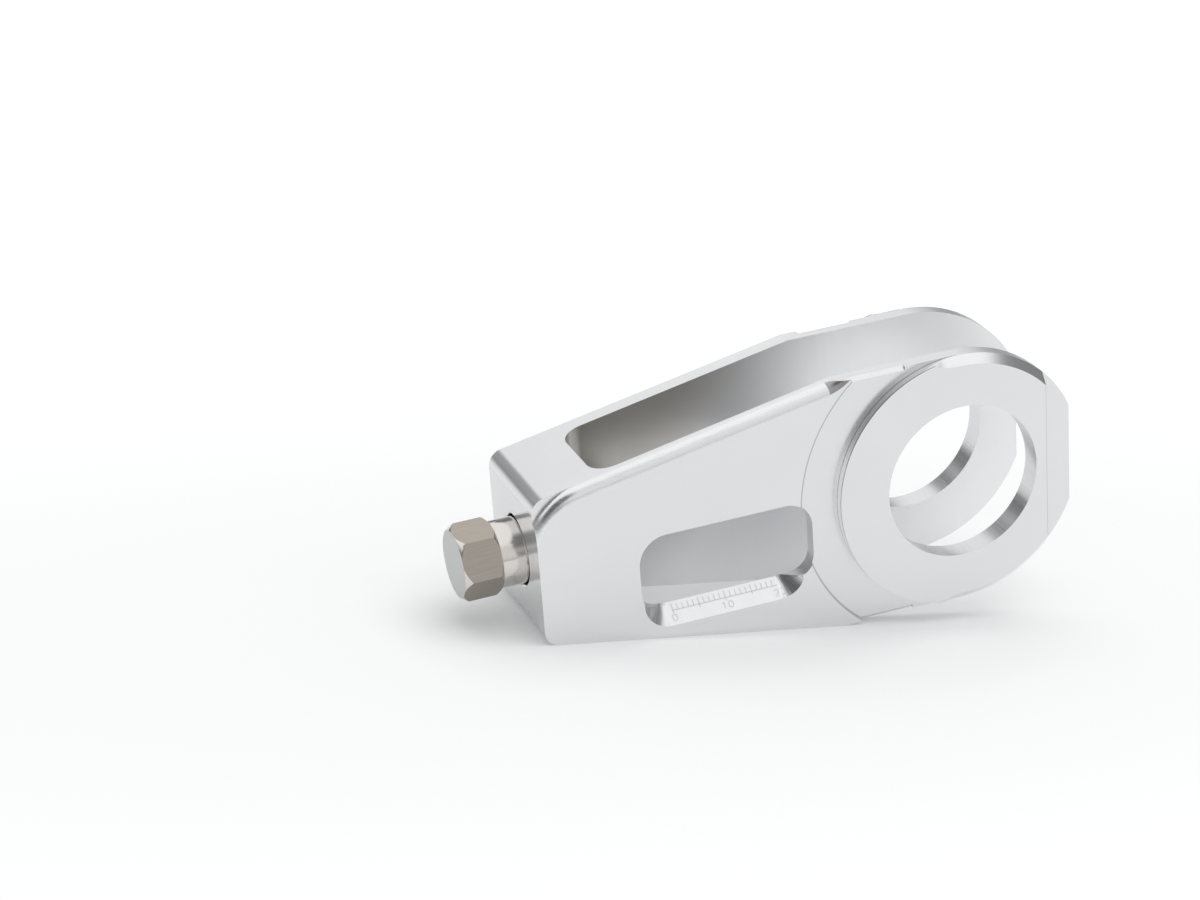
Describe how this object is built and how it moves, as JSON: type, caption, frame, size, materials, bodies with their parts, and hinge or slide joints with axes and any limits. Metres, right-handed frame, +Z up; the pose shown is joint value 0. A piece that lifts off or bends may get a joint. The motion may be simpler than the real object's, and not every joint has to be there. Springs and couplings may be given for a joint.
{
  "type": "chain tensioner",
  "caption": "Milled fork for a motorcycle swingarm end, with an axle bore through both cheeks, a sight window over an engraved scale, and an adjuster bolt in its closed end.",
  "frame": {"origin": "centre of the axle bore, halfway between the two ring faces", "axes": "+Y along the axle bore, away from the cheek with the scale; +Z up, with the fork lying on its lower tapered edge; +X towards the ring end, so the fork's own centre line leans 10.6 degrees in the XZ plane"},
  "size_m": [0.1139, 0.0266, 0.0515],
  "materials": {
    "fork_aluminium": "satin, clear anodised after milling",
    "bolt_steel": "turned stainless steel"
  },
  "bodies": {
    "fork": {"tensioner_fork": "fork_aluminium"},
    "bolt": {"adjuster_bolt": "bolt_steel"}
  },
  "joints": [
    {"name": "bolt_travel", "type": "slide", "parent": "fork", "child": "bolt", "axis": [0.983, 0, 0.1839], "range_m": [-0.01, 0.004]}
  ]
}
